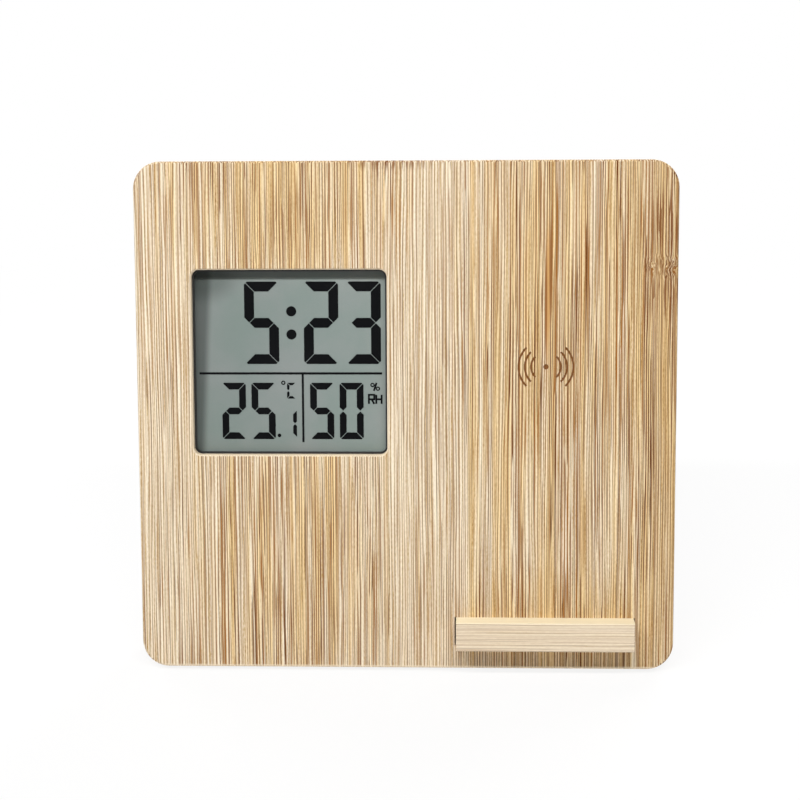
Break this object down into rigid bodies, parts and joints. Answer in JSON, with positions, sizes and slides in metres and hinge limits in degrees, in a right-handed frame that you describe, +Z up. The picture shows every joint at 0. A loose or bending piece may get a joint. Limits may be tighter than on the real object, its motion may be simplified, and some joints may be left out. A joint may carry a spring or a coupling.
{
  "type": "wooden desk clock",
  "caption": "Leaning bamboo board with a segment clock display, a phone ledge under a wireless charging spot, a folding rear leg and a rear cover with buttons and a cell door.",
  "frame": {"origin": "middle of the footprint's box on the desk, under the clock as it stands", "axes": "+Z up from the desk, +X to the viewer's right along the face, the face looks along -Y and leans back"},
  "size_m": [0.16, 0.1196, 0.148],
  "materials": {
    "bamboo": "fine straight grain, clear satin",
    "black_plastic": "fine moulded texture",
    "display_film": "grey-green, satin",
    "display_glass": "clear",
    "display_ink": "near black",
    "contact_rubber": "banded",
    "rubber": "matt",
    "green_board": "solder mask",
    "black_resin": "moulded resin",
    "grey_button": "fine moulded texture",
    "switch_plastic": "plain",
    "steel": "zinc plated",
    "copper": "enamelled wire",
    "ferrite": "sintered, matt",
    "brass": "turned",
    "nickel": "nickel plated",
    "cell_jacket": null,
    "lead_sleeve": "insulation",
    "nylon": "natural",
    "ceramic_chip": "fired"
  },
  "bodies": {
    "clock": {"board": "bamboo", "phone_ledge": "bamboo", "lcd_frame": "black_plastic", "rear_cover": "black_plastic", "hinge_bracket": "black_plastic", "lcd_polariser": "display_film", "lcd_front_glass": "display_glass", "lcd_rear_glass": "display_glass", "lcd_reflector": "display_film", "lcd_segments": "display_ink", "contact_strips": "contact_rubber", "clock_board": "green_board", "charger_board": "green_board", "clock_chip": "black_resin", "charger_chips": "black_resin", "climate_sensor": "nylon", "quartz_crystal": "nickel", "switch_bodies": "switch_plastic", "display_screws": "steel", "charger_screws": "steel", "cover_screws": "steel", "bracket_screws": "steel", "hinge_pin": "steel", "inlet_shell": "nickel", "inlet_tongue": "switch_plastic", "cell_contacts": "nickel", "cell_bridge": "nickel", "charging_coil": "copper", "ferrite_disc": "ferrite", "power_inductor": "ferrite", "board_spacers": "nylon", "hinge_washers": "nylon", "tuning_capacitors": "ceramic_chip", "cells": "cell_jacket", "cell_leads": "lead_sleeve", "coil_leads": "lead_sleeve", "base_feet": "rubber"},
    "leg": {"stand_leg": "bamboo", "leg_bush": "brass", "leg_foot": "rubber"},
    "door": {"battery_door": "black_plastic"},
    "mode_key": {"mode_button": "grey_button", "mode_plunger": "nylon"},
    "set_key": {"set_button": "grey_button", "set_plunger": "nylon"},
    "up_key": {"up_button": "grey_button", "up_plunger": "nylon"},
    "down_key": {"down_button": "grey_button", "down_plunger": "nylon"}
  },
  "joints": [
    {"name": "leg_fold", "type": "hinge", "parent": "clock", "child": "leg", "pos_m": [0, 0.00788, 0.13061], "axis": [-1, 0, 0], "range_deg": [0, 35]},
    {"name": "door_swing", "type": "hinge", "parent": "clock", "child": "door", "pos_m": [0.04415, -0.03011, 0.0236], "axis": [-1, 0, 0], "range_deg": [0, 70]},
    {"name": "mode_press", "type": "slide", "parent": "clock", "child": "mode_key", "axis": [0, -0.9659, 0.2588], "range_m": [0, 0.0005], "stiffness_N_per_m": 600, "springref_m": -0.0005},
    {"name": "set_press", "type": "slide", "parent": "clock", "child": "set_key", "axis": [0, -0.9659, 0.2588], "range_m": [0, 0.0005], "stiffness_N_per_m": 600, "springref_m": -0.0005},
    {"name": "up_press", "type": "slide", "parent": "clock", "child": "up_key", "axis": [0, -0.9659, 0.2588], "range_m": [0, 0.0005], "stiffness_N_per_m": 600, "springref_m": -0.0005},
    {"name": "down_press", "type": "slide", "parent": "clock", "child": "down_key", "axis": [0, -0.9659, 0.2588], "range_m": [0, 0.0005], "stiffness_N_per_m": 600, "springref_m": -0.0005}
  ]
}
